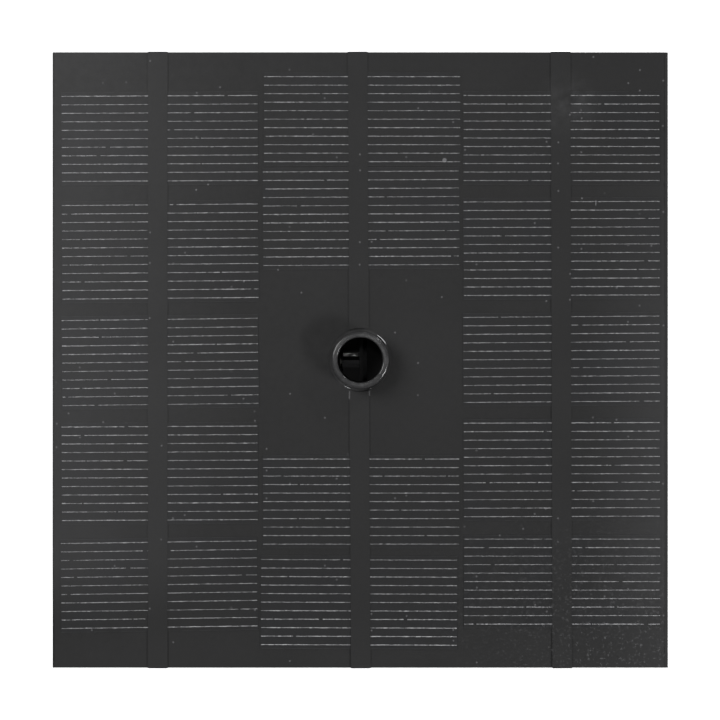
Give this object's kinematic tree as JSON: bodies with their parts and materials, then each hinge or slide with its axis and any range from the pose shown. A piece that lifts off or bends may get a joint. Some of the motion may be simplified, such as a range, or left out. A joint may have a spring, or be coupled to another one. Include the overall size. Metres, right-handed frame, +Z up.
{
  "type": "solar fountain pump",
  "caption": "Square matt black solar panel on a float tray with a short riser tube through its middle, over a small submersible pump in a slotted filter cover on suction cups.",
  "frame": {"origin": "middle of the riser tube's axis at the level of the suction cups' lips", "axes": "+Z up along the riser tube, +X along the pump's axis from its intake to its motor, +Y across it along the strings of cells"},
  "size_m": [0.16, 0.1604, 0.06],
  "materials": {
    "panel_board": "matte black coated glass-fibre board",
    "encapsulant_sheet": "matte",
    "silicon_cell": "dark satin silicon with printed silver fingers",
    "black_tape": "matte",
    "tinned_ribbon": "satin",
    "matt_film": "matte, see-through",
    "sealant": "satin",
    "black_housing": "satin",
    "foam": "matte closed-cell foam",
    "sponge": "matte open-cell sponge",
    "black_rubber": "matte",
    "steel": "satin",
    "core_steel": "satin",
    "copper_winding": "enamelled",
    "circuit_board": "satin",
    "sensor_black": "matte",
    "epoxy": "gloss",
    "impeller_plastic": "satin",
    "ferrite": "matte",
    "ceramic_shaft": "polished",
    "lead_red": "satin",
    "lead_black": "satin",
    "clear_vinyl": "gloss"
  },
  "bodies": {
    "float_and_pump": {"float_tray": "black_housing", "float_foam_1": "foam", "float_foam_2": "foam", "float_foam_3": "foam", "float_foam_4": "foam", "panel_substrate": "panel_board", "panel_backing_sheet": "encapsulant_sheet", "solar_cell_01": "silicon_cell", "solar_cell_02": "silicon_cell", "solar_cell_03": "silicon_cell", "solar_cell_04": "silicon_cell", "solar_cell_05": "silicon_cell", "solar_cell_06": "silicon_cell", "solar_cell_07": "silicon_cell", "solar_cell_08": "silicon_cell", "solar_cell_09": "silicon_cell", "solar_cell_10": "silicon_cell", "solar_cell_11": "silicon_cell", "solar_cell_12": "silicon_cell", "solar_cell_13": "silicon_cell", "solar_cell_14": "silicon_cell", "busbar_strip_left": "black_tape", "busbar_strip_centre": "black_tape", "busbar_strip_right": "black_tape", "tabbing_ribbons": "tinned_ribbon", "front_film": "matt_film", "riser_sealant": "sealant", "junction_box": "sealant", "pump_casing": "black_housing", "riser_seal_ring": "black_rubber", "pump_screws": "steel", "motor_rear_cap": "black_housing", "stator_core": "core_steel", "stator_coil_1": "copper_winding", "stator_coil_2": "copper_winding", "stator_coil_3": "copper_winding", "stator_coil_4": "copper_winding", "driver_board": "circuit_board", "hall_sensor": "sensor_black", "potting_compound": "epoxy", "panel_lead_positive": "lead_red", "panel_lead_negative": "lead_black", "lead_grommet": "black_rubber", "rotor_shaft": "ceramic_shaft", "rear_bush": "black_rubber"},
    "rotor": {"impeller": "impeller_plastic", "rotor_magnet": "ferrite"},
    "volute_cover_body": {"volute_cover": "black_housing", "front_bush": "ceramic_shaft", "cover_o_ring": "black_rubber"},
    "filter_basket": {"filter_cover": "black_housing", "filter_sponge": "sponge", "suction_cup_1": "clear_vinyl", "suction_cup_2": "clear_vinyl", "suction_cup_3": "clear_vinyl", "suction_cup_4": "clear_vinyl"}
  },
  "joints": [
    {"name": "impeller_spin", "type": "hinge", "parent": "float_and_pump", "child": "rotor", "pos_m": [0, 0, 0.0245], "axis": [1, 0, 0], "continuous": true},
    {"name": "volute_cover_twist", "type": "hinge", "parent": "float_and_pump", "child": "volute_cover_body", "pos_m": [0, 0, 0.0245], "axis": [1, 0, 0], "range_deg": [0, 25]},
    {"name": "filter_cover_pull", "type": "slide", "parent": "float_and_pump", "child": "filter_basket", "axis": [0, 0, -1], "range_m": [0, 0.035]}
  ]
}
